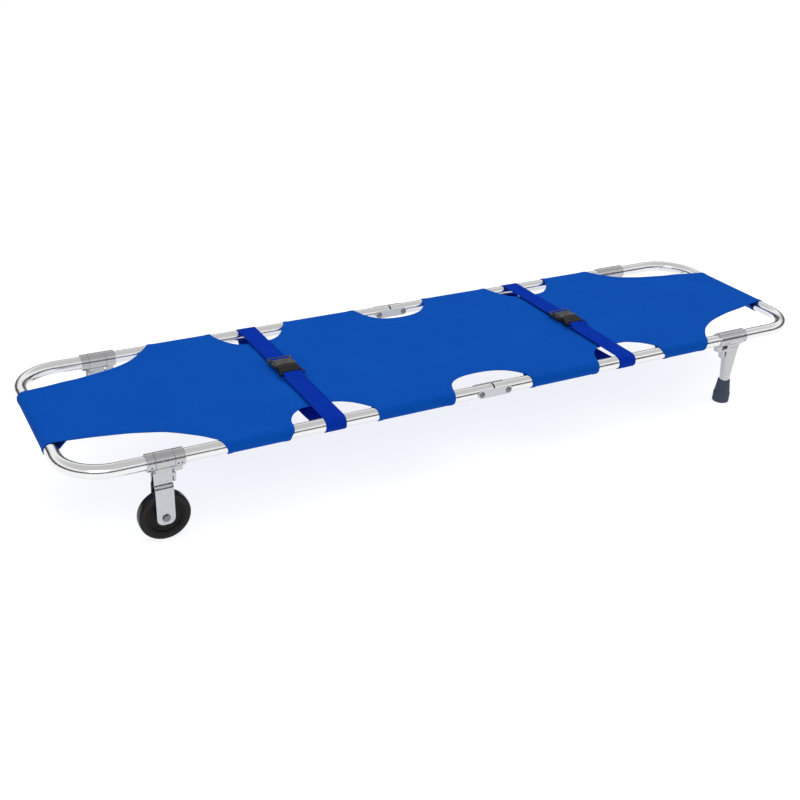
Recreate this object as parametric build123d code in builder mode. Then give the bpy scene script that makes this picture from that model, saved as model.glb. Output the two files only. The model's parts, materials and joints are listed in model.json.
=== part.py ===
from build123d import *
import os
from math import sqrt

# Folding stretcher, millimetres. X runs along the stretcher with the wheels at -X and the feet at +X,
# Y runs across it with the near rail at -Y, and Z is up. The origin is on the ground, under the centre.

NEAR, FAR = -1, 1
WHEEL_END, FOOT_END = -1, 1

# Frame tube
LENGTH = 2080.0
WIDTH = 570.0
RAIL_D = 32.0
RAIL_WALL = 1.8
CORNER_R = 102.0
RAIL_HEIGHT = 192.0
SEAM = 4.0

# Centre hinge
PIVOT_X = 37.6
LINK_H = 21.0
LINK_T = 2.5
LINK_GAP = 0.3
PIN_D = 10.0
PIN_WASHER_D = 15.0
PIN_WASHER_T = 1.2
PIN_DOME_D = 13.0
PIN_DOME_H = 3.2
PLUG_LENGTH = 62.0
PLUG_GAP = 0.1

# Clearances
RUNNING = 0.08
SIDE_PLAY = 0.3
SEAT = 0.05

# Collars and turning sleeves
COLLAR_WALL = 4.0
COLLAR_CHAMFER = 0.8
SLEEVE_CHAMFER = 0.6
LUG_FILLET = 4.0
SCREW_D = 4.0
SCREW_DROP = 5.0
SCREW_RECESS = 0.6
SCREW_SOCKET_R = 1.2
SCREW_INSET = 6.0
SCREW_PITCH = 8.0

# Collar lugs: length, depth below the collar, and half width
OUTER_LUG = (12.0, 1.4, 6.0)
WHEEL_CATCH = (19.0, 11.0, 5.0)
LEG_CATCH = (19.0, 14.0, 7.0)
OUTER_LUG_INSET = 3.0

# Wheel bracket, with distances measured back from the end rail's axis
WHEEL_BACK = 196.0
WHEEL_SLEEVE = (-14.5, 27.0)
WHEEL_COLLAR_OUT = 18.5
WHEEL_COLLAR_IN = 23.0
WHEEL_D = 116.0
WHEEL_WIDTH = 27.0
TYRE_DEPTH = 15.0
FORK_W = 41.0
FORK_T = 2.5
FORK_TOP_GAP = 3.0
NECK_W = 24.0
NECK_SHOULDER = 1.0
WHEEL_TOP_GAP = 10.0
BEND_RUN = 18.0
FORK_ROUND = 15.5
FORK_BELOW_AXLE = 17.0
AXLE_D = 10.0
AXLE_HEAD_D = 16.0
AXLE_HEAD_H = 4.0
AXLE_FLANGE_D = 19.0
AXLE_FLANGE_T = 1.0
BUSH_WALL = 2.0
WHEEL_SIDE_GAP = 2.0
HUB_BOSS_WALL = 7.0
HUB_PROUD = 1.0
HUB_DRAFT = 1.5
HUB_DISH = (3.0, 6.0)
HUB_RIM = (5.0, 10.0)
TYRE_SHOULDER_R = 5.0

# Leg, with distances measured back from the end rail's axis
LEG_BACK = 240.5
LEG_SLEEVE = (-24.0, 21.5)
LEG_COLLAR_OUT = 16.5
LEG_COLLAR_IN = 29.2
LEG_TOP_W = 43.0
LEG_TOP_DEPTH = 28.0
LEG_TOP_GAP = 4.0
LEG_D = 26.6
LEG_TAPER_GAP = 5.0
FOOT_H = 65.0
FOOT_TOP_D = 33.0
FOOT_D = 45.5
FOOT_SHOULDER_H = 26.0
FOOT_SOLE = 14.0
FOOT_SHOULDER_IN = 1.6
FOOT_SHOULDER_RISE = 4.0
FOOT_EDGE_R = 2.0
LEG_TOP_R = 8.0
LEG_RELIEF = 1.0

# Latches
LATCH_PIN_D = 4.0
LATCH_EAR_T = 3.0
WHEEL_LATCH_GAP = 15.2
WHEEL_LATCH_OUT = 6.5
WHEEL_LATCH_T = 6.4
WHEEL_LATCH_L = 20.8
WHEEL_EAR_H = 7.0
LEG_LATCH_GAP = 9.0
LEG_LATCH_BACK = 28.0
LEG_LATCH_HALF = 9.0
LEG_LATCH_T = 8.0
LEG_LATCH_L = 28.0
LEG_EAR_H = 9.0
LEG_EAR_ROOT = 6.0

# Sling
CLOTH_T = 1.6
CLOTH_GAP = 0.2
CENTRE_CUT = 109.0
SLEEVE_INNER_END = 317.0
SLEEVE_OUTER_START = 525.0
END_CUT_BACK = 332.0
CUT_DEPTH = 79.0
WRAP_BARE = 32.0
CENTRE_STRIP_IN = 2.0
END_CUT_KNEE = (62.0, 67.0)
END_CUT_WAIST = (200.0, 14.0)

# Straps
STRAP_W = 50.0
STRAP_T = 1.8
STRAP_1_X = -425.0
STRAP_2_X = 407.0
STRAP_DROP = 30.0
STRAP_KNEE_IN = 70.0
BUCKLE_1_Y = 0.0
BUCKLE_2_Y = -24.0
BUCKLE_W = 62.0
BUCKLE_H = 13.0
SOCKET_L = 46.0
PLUG_L = 42.0
BUCKLE_ROUND = 2.5
SOCKET_CORNER_R = 5.0
PLUG_CORNER_R = 6.0
PLUG_STEP = 1.0
BAR_SLOT_W = 48.0
SOCKET_SLOT = (5.5, 4.0)
PLUG_SLOTS = (16.0, 28.0)
PLUG_SLOT_L = 5.0
TONGUE_W = 10.0
PRONG_W = 7.0
PRONG_LENGTH = 31.0
PRONG_SIDE = 1.5
PRONG_TRAVEL = 2.5
PRONG_SKIN = 3.0
PRONG_SHOULDER_L = 9.0
WINDOW = (11.0, 33.0)

RAIL_R = RAIL_D / 2
RAIL_Y = WIDTH / 2 - RAIL_R
END_X = LENGTH / 2 - RAIL_R
COLLAR_R = RAIL_R + COLLAR_WALL
LINK_IN = RAIL_R + LINK_GAP
LINK_OUT = LINK_IN + LINK_T
LINK_END = PIVOT_X + LINK_H / 2
WHEEL_X = WHEEL_END * (END_X - WHEEL_BACK)
WHEEL_R = WHEEL_D / 2
AXLE_R = AXLE_D / 2
FORK_OUT = WHEEL_WIDTH / 2 + WHEEL_SIDE_GAP + FORK_T
FORK_TOP = COLLAR_R + FORK_TOP_GAP
BEND_END = RAIL_HEIGHT - WHEEL_D - WHEEL_TOP_GAP
NECK_END = BEND_END - BEND_RUN
FORK_BOTTOM = RAIL_HEIGHT - WHEEL_R + FORK_BELOW_AXLE
LEG_X = FOOT_END * (END_X - LEG_BACK)
LEG_TOP = COLLAR_R + LEG_TOP_GAP
FOOT_TOP = RAIL_HEIGHT - FOOT_H
LEG_TAPER_END = FOOT_TOP - LEG_TAPER_GAP
CLOTH_IN = RAIL_R + CLOTH_GAP
CLOTH_OUT = CLOTH_IN + CLOTH_T
STRAP_IN = CLOTH_OUT + SIDE_PLAY
STRAP_OUT = STRAP_IN + STRAP_T
CUT_EDGE = RAIL_Y - CUT_DEPTH
WRAP_HALF = RAIL_Y - CORNER_R - WRAP_BARE


def section(x, y=0.0):
    """Plane across the stretcher at x, looking along +X, with its origin at the rail's height."""
    return Plane((x, y, RAIL_HEIGHT), x_dir=(0, 1, 0), z_dir=(1, 0, 0))


def side_view(y):
    """Upright plane along the stretcher at y, facing -Y, with its origin at the rail's height."""
    return Plane((0, y, RAIL_HEIGHT), x_dir=(1, 0, 0), z_dir=(0, -1, 0))


def level(height):
    """Level plane at a height over the rail's axis."""
    return Plane.XY.offset(RAIL_HEIGHT + height)


def save(piece, label):
    """Label one finished piece and write it as its own node."""
    piece.label = label
    export_step(piece, f"parts/{label}.step")


def side_name(side):
    """Word for a rail: the near one is at -Y."""
    return "near" if side == NEAR else "far"


# ---------------------------------------------------------------- frame tube


def frame_tube(end, label):
    """One bent half of the frame: two side rails and an end rail."""
    cutter = hinge_end_cutter(end)
    with BuildPart() as tube:
        with BuildLine(level(0)):
            FilletPolyline(
                (end * SEAM / 2, -RAIL_Y),
                (end * END_X, -RAIL_Y),
                (end * END_X, RAIL_Y),
                (end * SEAM / 2, RAIL_Y),
                radius=CORNER_R,
            )
        with BuildSketch(section(end * SEAM / 2, -RAIL_Y)):
            Circle(RAIL_R)
            Circle(RAIL_R - RAIL_WALL, mode=Mode.SUBTRACT)
        sweep()
        add(cutter, mode=Mode.SUBTRACT)
    save(tube.part, label)


def hinge_end_cutter(end):
    """Pin holes, and the waste under both hinge ends that is rounded off so that they swing upwards."""
    with BuildPart() as cutter:
        with BuildSketch(side_view(0)):
            with Locations((end * PIVOT_X, 0)):
                Circle(PIN_D / 2 + RUNNING)
        extrude(amount=WIDTH, both=True)
        with BuildSketch(side_view(0)):
            with Locations((end * PIVOT_X / 2, -RAIL_D / 2)):
                Rectangle(PIVOT_X, RAIL_D)
            with Locations((end * PIVOT_X, 0)):
                Circle(PIVOT_X - SEAM / 2, mode=Mode.SUBTRACT)
        extrude(amount=WIDTH, both=True)
    return cutter.part


def hinge_plugs(end, label):
    """Solid plugs in both open ends of a frame half, which bear on the hinge pins."""
    plug_r = RAIL_R - RAIL_WALL - PLUG_GAP
    cutter = hinge_end_cutter(end)
    with BuildPart() as plugs:
        for side in (NEAR, FAR):
            with BuildSketch(section(end * SEAM / 2, side * RAIL_Y)):
                Circle(plug_r)
            extrude(amount=end * PLUG_LENGTH)
        add(cutter, mode=Mode.SUBTRACT)
    save(plugs.part, label)


# -------------------------------------------------------------- centre hinge


def hinge_links(side, label):
    """Two flat links, one on each face of a rail."""
    with BuildPart() as links:
        for face in (NEAR, FAR):
            mid = side * RAIL_Y + face * (LINK_IN + LINK_OUT) / 2
            with BuildSketch(side_view(mid)):
                SlotOverall(2 * LINK_END, LINK_H)
                with Locations((-PIVOT_X, 0), (PIVOT_X, 0)):
                    Circle(PIN_D / 2 + SEAT, mode=Mode.SUBTRACT)
            extrude(amount=LINK_T / 2, both=True)
    save(links.part, label)


def hinge_bolts(label):
    """Four pins through the links and rails, each with a washer and a domed head at both ends."""
    dome_r = ((PIN_DOME_D / 2) ** 2 + PIN_DOME_H**2) / (2 * PIN_DOME_H)
    washer_top = LINK_OUT + PIN_WASHER_T
    with BuildPart() as bolts:
        for side in (NEAR, FAR):
            for x in (-PIVOT_X, PIVOT_X):
                with BuildSketch(Plane((x, side * RAIL_Y, RAIL_HEIGHT), x_dir=(1, 0, 0), z_dir=(0, 0, 1))):
                    with BuildLine():
                        Polyline(
                            (0, washer_top + PIN_DOME_H),
                            (0, 0),
                            (PIN_D / 2, 0),
                            (PIN_D / 2, LINK_OUT),
                            (PIN_WASHER_D / 2, LINK_OUT),
                            (PIN_WASHER_D / 2, washer_top),
                            (PIN_DOME_D / 2, washer_top),
                        )
                        RadiusArc((PIN_DOME_D / 2, washer_top), (0, washer_top + PIN_DOME_H), -dome_r)
                    make_face()
                    mirror(about=Plane.XZ)
                revolve(axis=Axis((x, side * RAIL_Y, RAIL_HEIGHT), (0, 1, 0)))
    save(bolts.part, label)


# --------------------------------------------------------- collars and screws


def collar(x_start, x_end, side, lug, screws, label):
    """Collar clamped on a rail, with screw holes and a lug: its start, length, depth and half width."""
    lug_start, lug_length, lug_below, lug_half = lug
    lug_depth = COLLAR_R + lug_below
    with BuildPart() as ring:
        with BuildSketch(section(x_start, side * RAIL_Y)):
            Circle(COLLAR_R)
        extrude(amount=x_end - x_start)
        chamfer(ring.edges().filter_by(GeomType.CIRCLE), COLLAR_CHAMFER)
        with BuildSketch(section(lug_start, side * RAIL_Y)):
            with Locations((0, -lug_depth / 2)):
                Rectangle(2 * lug_half, lug_depth)
        extrude(amount=lug_length)
        fillet(ring.edges().filter_by(Axis.Y).group_by(Axis.Z)[0], min(LUG_FILLET, lug_below / 2))
        with BuildSketch(section(x_start, side * RAIL_Y)):
            Circle(RAIL_R + SEAT)
        extrude(amount=x_end - x_start, mode=Mode.SUBTRACT)
        with BuildSketch(side_view(side * RAIL_Y)):
            with Locations(*[(x, -SCREW_DROP) for x in screws]):
                Circle(SCREW_D / 2)
        extrude(amount=-side * COLLAR_R, mode=Mode.SUBTRACT)
    save(ring.part, label)


def set_screws(places, label):
    """Headless screws with a hexagon socket, in the outer face of the collars."""
    tip = RAIL_R + SEAT
    head = sqrt(COLLAR_R**2 - SCREW_DROP**2) - SCREW_RECESS
    with BuildPart() as screws:
        for side, x in places:
            with BuildSketch(side_view(side * (RAIL_Y + tip))):
                with Locations((x, -SCREW_DROP)):
                    Circle(SCREW_D / 2 - SEAT)
            extrude(amount=-side * (head - tip))
            with BuildSketch(side_view(side * (RAIL_Y + head))):
                with Locations((x, -SCREW_DROP)):
                    RegularPolygon(SCREW_SOCKET_R, 6)
            extrude(amount=side * (head - tip) * 0.7, mode=Mode.SUBTRACT)
    save(screws.part, label)


def rail_collars():
    """The four collars on each half of the frame, and their screws."""
    wheel_out = WHEEL_X + WHEEL_SLEEVE[0] - SIDE_PLAY
    wheel_in = WHEEL_X + WHEEL_SLEEVE[1] + SIDE_PLAY
    leg_in = LEG_X + LEG_SLEEVE[0] - SIDE_PLAY
    leg_out = LEG_X + LEG_SLEEVE[1] + SIDE_PLAY
    wheel_start = wheel_out - WHEEL_COLLAR_OUT
    wheel_stop = wheel_in + WHEEL_COLLAR_IN
    leg_start = leg_in - LEG_COLLAR_IN
    leg_stop = leg_out + LEG_COLLAR_OUT
    wheel_screws = []
    foot_screws = []
    for side in (NEAR, FAR):
        name = side_name(side)
        outer_holes = [(wheel_start + wheel_out) / 2]
        inner_holes = [wheel_in + SCREW_INSET, wheel_in + SCREW_INSET + SCREW_PITCH]
        outer_lug = (wheel_start + OUTER_LUG_INSET, *OUTER_LUG)
        inner_lug = (wheel_in, *WHEEL_CATCH)
        collar(wheel_start, wheel_out, side, outer_lug, outer_holes, f"{name}_wheel_collar_outer")
        collar(wheel_in, wheel_stop, side, inner_lug, inner_holes, f"{name}_wheel_collar_inner")
        wheel_screws += [(side, x) for x in outer_holes + inner_holes]

        inner_holes = [leg_in - SCREW_INSET - SCREW_PITCH, leg_in - SCREW_INSET]
        outer_holes = [(leg_out + leg_stop) / 2]
        inner_lug = (leg_start, *LEG_CATCH)
        outer_lug = (leg_out + OUTER_LUG_INSET, *OUTER_LUG)
        collar(leg_start, leg_in, side, inner_lug, inner_holes, f"{name}_leg_collar_inner")
        collar(leg_out, leg_stop, side, outer_lug, outer_holes, f"{name}_leg_collar_outer")
        foot_screws += [(side, x) for x in inner_holes + outer_holes]
    set_screws(wheel_screws, "wheel_end_set_screws")
    set_screws(foot_screws, "foot_end_set_screws")


# --------------------------------------------------------------- wheel bracket

NECK_LUG_HALF = NECK_W / 2 - FORK_T
NECK_LUG_END = NECK_END - 2.0
NECK_LUG_STOP = WHEEL_X + FORK_W / 2
WHEEL_LATCH_X = NECK_LUG_STOP + WHEEL_LATCH_OUT
WHEEL_LATCH_DROP = COLLAR_R + WHEEL_LATCH_GAP


def axle_level(side):
    """Level plane with its origin at the middle of a wheel."""
    return Plane((WHEEL_X, side * RAIL_Y, WHEEL_R), x_dir=(1, 0, 0), z_dir=(0, 0, 1))


def wheel_sleeve(side, label):
    """Sleeve that turns on the rail, with the lug that the fork plates sit on and the latch ears."""
    start = WHEEL_X + WHEEL_SLEEVE[0]
    length = WHEEL_SLEEVE[1] - WHEEL_SLEEVE[0]
    shoulder = FORK_TOP - SIDE_PLAY
    with BuildPart() as sleeve:
        with BuildSketch(section(start, side * RAIL_Y)):
            Circle(COLLAR_R)
        extrude(amount=length)
        chamfer(sleeve.edges().filter_by(GeomType.CIRCLE), SLEEVE_CHAMFER)
        with BuildSketch(section(start, side * RAIL_Y)):
            with Locations((0, -shoulder / 2)):
                Rectangle(NECK_W + 2 * NECK_SHOULDER, shoulder)
            with Locations((0, -NECK_LUG_END / 2)):
                Rectangle(2 * NECK_LUG_HALF, NECK_LUG_END)
        extrude(amount=NECK_LUG_STOP - start)
        for face in (NEAR, FAR):
            ear_mid = side * RAIL_Y + face * (NECK_LUG_HALF - LATCH_EAR_T / 2)
            with BuildSketch(side_view(ear_mid)):
                with Locations(((NECK_LUG_STOP + WHEEL_LATCH_X) / 2, -WHEEL_LATCH_DROP)):
                    Rectangle(WHEEL_LATCH_OUT, WHEEL_EAR_H)
                with Locations((WHEEL_LATCH_X, -WHEEL_LATCH_DROP)):
                    Circle(WHEEL_EAR_H / 2)
                    Circle(LATCH_PIN_D / 2 + SEAT, mode=Mode.SUBTRACT)
            extrude(amount=LATCH_EAR_T / 2, both=True)
        with BuildSketch(section(start, side * RAIL_Y)):
            Circle(RAIL_R + RUNNING)
        extrude(amount=length, mode=Mode.SUBTRACT)
    save(sleeve.part, label)


def fork_plate(side, face, label):
    """Pressed fork plate: flat against the neck, bent out to clear the wheel, rounded at its foot."""
    neck, fork = NECK_W / 2, FORK_OUT
    with BuildPart() as plate:
        with BuildSketch(section(WHEEL_X - FORK_W / 2, side * RAIL_Y)):
            with BuildLine():
                Polyline(
                    (face * neck, -FORK_TOP),
                    (face * neck, -NECK_END),
                    (face * fork, -BEND_END),
                    (face * fork, -FORK_BOTTOM),
                    (face * (fork - FORK_T), -FORK_BOTTOM),
                    (face * (fork - FORK_T), -BEND_END),
                    (face * (neck - FORK_T), -NECK_END),
                    (face * (neck - FORK_T), -FORK_TOP),
                    close=True,
                )
            make_face()
        extrude(amount=FORK_W)
        fillet(plate.edges().filter_by(Axis.Y).group_by(Axis.Z)[0], FORK_ROUND)
        with BuildSketch(side_view(side * RAIL_Y)):
            with Locations((WHEEL_X, WHEEL_R - RAIL_HEIGHT)):
                Circle(AXLE_R + SEAT)
        extrude(amount=2 * FORK_OUT, both=True, mode=Mode.SUBTRACT)
    save(plate.part, label)


def axle_bolt(side, label):
    """Hexagon bolt through the fork, with its head on the outer plate."""
    with BuildPart() as bolt:
        with BuildSketch(side_view(side * (RAIL_Y + FORK_OUT))):
            with Locations((WHEEL_X, WHEEL_R - RAIL_HEIGHT)):
                Circle(AXLE_R)
        extrude(amount=side * (2 * FORK_OUT + AXLE_HEAD_H))
        with BuildSketch(side_view(side * (RAIL_Y + FORK_OUT))):
            with Locations((WHEEL_X, WHEEL_R - RAIL_HEIGHT)):
                Circle(AXLE_FLANGE_D / 2)
        extrude(amount=-side * AXLE_FLANGE_T)
        with BuildSketch(side_view(side * (RAIL_Y + FORK_OUT + AXLE_FLANGE_T))):
            with Locations((WHEEL_X, WHEEL_R - RAIL_HEIGHT)):
                RegularPolygon(AXLE_HEAD_D / 2, 6)
        extrude(amount=-side * (AXLE_HEAD_H - AXLE_FLANGE_T))
    save(bolt.part, label)


def axle_nut(side, label):
    """Thin nut on the inner plate."""
    with BuildPart() as nut:
        with BuildSketch(side_view(side * (RAIL_Y - FORK_OUT))):
            with Locations((WHEEL_X, WHEEL_R - RAIL_HEIGHT)):
                RegularPolygon(AXLE_HEAD_D / 2, 6)
                Circle(AXLE_R + SEAT, mode=Mode.SUBTRACT)
        extrude(amount=side * AXLE_HEAD_H)
    save(nut.part, label)


def axle_bush(side, label):
    """Tube on the axle, clamped between the fork plates, that the wheel turns on."""
    with BuildPart() as bush:
        with BuildSketch(side_view(side * RAIL_Y)):
            with Locations((WHEEL_X, WHEEL_R - RAIL_HEIGHT)):
                Circle(AXLE_R + BUSH_WALL)
                Circle(AXLE_R + SEAT, mode=Mode.SUBTRACT)
        extrude(amount=FORK_OUT - FORK_T, both=True)
    save(bush.part, label)


def wheel_hub(side, label):
    """Dished hub with a centre boss and a raised rim."""
    bore = AXLE_R + BUSH_WALL + RUNNING
    rim = WHEEL_R - TYRE_DEPTH
    half = WHEEL_WIDTH / 2
    boss = bore + HUB_BOSS_WALL
    rim_w, dish_w = HUB_RIM
    boss_drop, dish_drop = HUB_DISH
    with BuildPart() as hub:
        with BuildSketch(axle_level(side)):
            with BuildLine():
                Polyline(
                    (bore, 0),
                    (bore, half + HUB_PROUD),
                    (boss, half + HUB_PROUD),
                    (boss + HUB_DRAFT, half - boss_drop),
                    (rim - dish_w, half - dish_drop),
                    (rim - rim_w, half - HUB_PROUD),
                    (rim, half - HUB_PROUD),
                    (rim, 0),
                    close=True,
                )
            make_face()
            mirror(about=Plane.XZ)
        revolve(axis=Axis((WHEEL_X, side * RAIL_Y, WHEEL_R), (0, 1, 0)))
    save(hub.part, label)


def wheel_tyre(side, label):
    """Solid tyre with rounded shoulders."""
    rim = WHEEL_R - TYRE_DEPTH + SEAT
    with BuildPart() as tyre:
        with BuildSketch(axle_level(side)) as profile:
            with Locations(((rim + WHEEL_R) / 2, 0)):
                Rectangle(WHEEL_R - rim, WHEEL_WIDTH)
            fillet(profile.vertices().group_by(Axis.X)[-1], TYRE_SHOULDER_R)
        revolve(axis=Axis((WHEEL_X, side * RAIL_Y, WHEEL_R), (0, 1, 0)))
    save(tyre.part, label)


def latch_lever(x, drop, side, half_width, thick, length, label):
    """Lever that hangs from a pin across the stretcher, with a rounded tip."""
    with BuildPart() as lever:
        with BuildSketch(side_view(side * RAIL_Y)):
            with Locations((x, -drop)):
                Circle(thick / 2)
            with Locations((x, -drop - length / 2)):
                Rectangle(thick, length)
            with Locations((x, -drop)):
                Circle(LATCH_PIN_D / 2 + RUNNING, mode=Mode.SUBTRACT)
        extrude(amount=half_width, both=True)
        fillet(lever.edges().filter_by(Axis.X).group_by(Axis.Z)[0], half_width * 0.8)
        fillet(lever.edges().filter_by(Axis.Y).group_by(Axis.Z)[0], thick * 0.35)
    save(lever.part, label)


def latch_pin(x, drop, side, half_length, label):
    """Pin that a latch lever turns on."""
    with BuildPart() as pin:
        with BuildSketch(side_view(side * RAIL_Y)):
            with Locations((x, -drop)):
                Circle(LATCH_PIN_D / 2)
        extrude(amount=half_length, both=True)
    save(pin.part, label)


def wheel_bracket(side):
    """Everything that folds and rolls at one wheel."""
    name = side_name(side)
    wheel_sleeve(side, f"{name}_wheel_sleeve")
    fork_plate(side, side, f"{name}_fork_plate_outer")
    fork_plate(side, -side, f"{name}_fork_plate_inner")
    axle_bolt(side, f"{name}_axle_bolt")
    axle_nut(side, f"{name}_axle_nut")
    axle_bush(side, f"{name}_axle_bush")
    wheel_hub(side, f"{name}_wheel_hub")
    wheel_tyre(side, f"{name}_wheel_tyre")
    lever_half = NECK_LUG_HALF - LATCH_EAR_T - SIDE_PLAY
    lever = (WHEEL_LATCH_X, WHEEL_LATCH_DROP, side)
    latch_lever(*lever, lever_half, WHEEL_LATCH_T, WHEEL_LATCH_L, f"{name}_wheel_latch")
    latch_pin(*lever, NECK_LUG_HALF, f"{name}_wheel_latch_pin")


# ------------------------------------------------------------------------ legs

LEG_LATCH_X = LEG_X - LEG_LATCH_BACK
LEG_LATCH_DROP = COLLAR_R + LEG_LATCH_GAP


def leg(side, label):
    """Cast leg: turning sleeve, boss, tapering shank, and the ears of its latch."""
    start, end = LEG_SLEEVE
    ear_end = LEG_X - LEG_TOP_W / 2 + LEG_EAR_ROOT
    boss_end = LEG_TOP_W / 2 - LEG_RELIEF
    with BuildPart() as cast:
        with BuildSketch(section(LEG_X + start, side * RAIL_Y)):
            Circle(COLLAR_R)
        extrude(amount=end - start)
        chamfer(cast.edges().filter_by(GeomType.CIRCLE), SLEEVE_CHAMFER)
        with BuildSketch(level(-LEG_TOP - LEG_RELIEF)):
            with Locations((LEG_X + (start + boss_end) / 2, side * RAIL_Y)):
                Rectangle(boss_end - start, LEG_TOP_DEPTH - 2 * LEG_RELIEF)
        extrude(amount=LEG_TOP + LEG_RELIEF)
        with BuildSketch(level(-LEG_TOP)):
            with Locations((LEG_X, side * RAIL_Y)):
                RectangleRounded(LEG_TOP_W, LEG_TOP_DEPTH, LEG_TOP_R)
        with BuildSketch(level(-LEG_TAPER_END)):
            with Locations((LEG_X, side * RAIL_Y)):
                RectangleRounded(LEG_D, LEG_D, LEG_D * 0.49)
        loft()
        with BuildSketch(level(-LEG_TAPER_END)):
            with Locations((LEG_X, side * RAIL_Y)):
                Circle(LEG_D / 2)
        extrude(amount=LEG_TAPER_END - RAIL_HEIGHT + FOOT_SOLE)
        for face in (NEAR, FAR):
            ear_y = side * RAIL_Y + face * (LEG_LATCH_HALF + SIDE_PLAY + LATCH_EAR_T / 2)
            with BuildSketch(side_view(ear_y)):
                with Locations(((LEG_LATCH_X + ear_end) / 2, -LEG_LATCH_DROP)):
                    Rectangle(ear_end - LEG_LATCH_X, LEG_EAR_H)
                with Locations((LEG_LATCH_X, -LEG_LATCH_DROP)):
                    Circle(LEG_EAR_H / 2)
                    Circle(LATCH_PIN_D / 2 + SEAT, mode=Mode.SUBTRACT)
            extrude(amount=LATCH_EAR_T / 2, both=True)
        with BuildSketch(section(LEG_X + start, side * RAIL_Y)):
            Circle(RAIL_R + RUNNING)
        extrude(amount=end - start, mode=Mode.SUBTRACT)
    save(cast.part, label)


def foot(side, label):
    """Rubber foot: flared, with a shoulder above a round sole."""
    bore = LEG_D / 2 + SEAT
    with BuildPart() as rubber:
        with BuildSketch(Plane((LEG_X, side * RAIL_Y, 0), x_dir=(1, 0, 0), z_dir=(0, -1, 0))) as profile:
            with BuildLine():
                Polyline(
                    (0, 0),
                    (FOOT_D / 2, 0),
                    (FOOT_D / 2, FOOT_SHOULDER_H),
                    (FOOT_D / 2 - FOOT_SHOULDER_IN, FOOT_SHOULDER_H + FOOT_SHOULDER_RISE),
                    (FOOT_TOP_D / 2, RAIL_HEIGHT - FOOT_TOP),
                    (bore, RAIL_HEIGHT - FOOT_TOP),
                    (bore, FOOT_SOLE - SEAT),
                    (0, FOOT_SOLE - SEAT),
                    close=True,
                )
            make_face()
            edge = (LEG_X + FOOT_D / 2, side * RAIL_Y, 0)
            fillet(profile.vertices().sort_by_distance(edge)[0], FOOT_EDGE_R)
        revolve(axis=Axis((LEG_X, side * RAIL_Y, 0), (0, 0, 1)))
    save(rubber.part, label)


def leg_set(side):
    """Everything that folds at one leg."""
    name = side_name(side)
    leg(side, f"{name}_leg")
    foot(side, f"{name}_foot")
    lever = (LEG_LATCH_X, LEG_LATCH_DROP, side)
    latch_lever(*lever, LEG_LATCH_HALF, LEG_LATCH_T, LEG_LATCH_L, f"{name}_leg_latch")
    latch_pin(*lever, LEG_LATCH_HALF + SIDE_PLAY + LATCH_EAR_T, f"{name}_leg_latch_pin")


# ----------------------------------------------------------------------- sling


def sling_half(end, label):
    """Sling of one frame half: a sheet over the rails, with sleeves round all three of them."""
    inner, outer = SLEEVE_INNER_END, SLEEVE_OUTER_START
    last = END_X - END_CUT_BACK
    edge = RAIL_Y + COLLAR_R
    knee_x, knee_y = END_CUT_KNEE
    waist_x, waist_y = END_CUT_WAIST
    with BuildPart() as sling:
        with BuildSketch(section(end * (PIVOT_X + SIDE_PLAY))):
            with Locations((0, CLOTH_IN + CLOTH_T / 2)):
                Rectangle(2 * RAIL_Y, CLOTH_T)
            with Locations((-RAIL_Y, 0), (RAIL_Y, 0)):
                Circle(CLOTH_OUT)
                Circle(CLOTH_IN, mode=Mode.SUBTRACT)
        extrude(amount=end * (last - PIVOT_X - SIDE_PLAY))
        with BuildSketch(section(end * last)):
            with Locations((0, CLOTH_IN + CLOTH_T / 2)):
                Rectangle(2 * RAIL_Y, CLOTH_T)
        extrude(amount=end * (END_X - last))
        with BuildSketch(side_view(0)):
            with Locations((end * END_X, 0)):
                Circle(CLOTH_OUT)
                Circle(CLOTH_IN, mode=Mode.SUBTRACT)
        extrude(amount=WRAP_HALF, both=True)
        for side in (NEAR, FAR):
            with BuildSketch(level(-COLLAR_R)):
                with BuildLine():
                    Polyline(
                        (0, side * edge),
                        (0, side * CUT_EDGE),
                    )
                    ThreePointArc(
                        (0, side * CUT_EDGE),
                        (end * CENTRE_CUT * 0.7, side * (CUT_EDGE + CUT_DEPTH * 0.25)),
                        (end * CENTRE_CUT, side * RAIL_Y),
                    )
                    Polyline(
                        (end * CENTRE_CUT, side * RAIL_Y),
                        (end * CENTRE_CUT, side * edge),
                        (0, side * edge),
                    )
                make_face()
                with BuildLine():
                    ThreePointArc(
                        (end * inner, side * RAIL_Y),
                        (end * (inner + outer) / 2, side * CUT_EDGE),
                        (end * outer, side * RAIL_Y),
                    )
                    Polyline(
                        (end * outer, side * RAIL_Y),
                        (end * outer, side * edge),
                        (end * inner, side * edge),
                        (end * inner, side * RAIL_Y),
                    )
                make_face()
                with BuildLine():
                    Spline(
                        (end * last, side * RAIL_Y),
                        (end * (last + knee_x), side * (RAIL_Y - knee_y)),
                        (end * (last + waist_x), side * (WRAP_HALF + waist_y)),
                        (end * END_X, side * WRAP_HALF),
                    )
                    Polyline(
                        (end * END_X, side * WRAP_HALF),
                        (end * (END_X + COLLAR_R), side * WRAP_HALF),
                        (end * (END_X + COLLAR_R), side * edge),
                        (end * last, side * edge),
                        (end * last, side * RAIL_Y),
                    )
                make_face()
            extrude(amount=2 * COLLAR_R, mode=Mode.SUBTRACT)
    save(sling.part, label)


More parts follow.
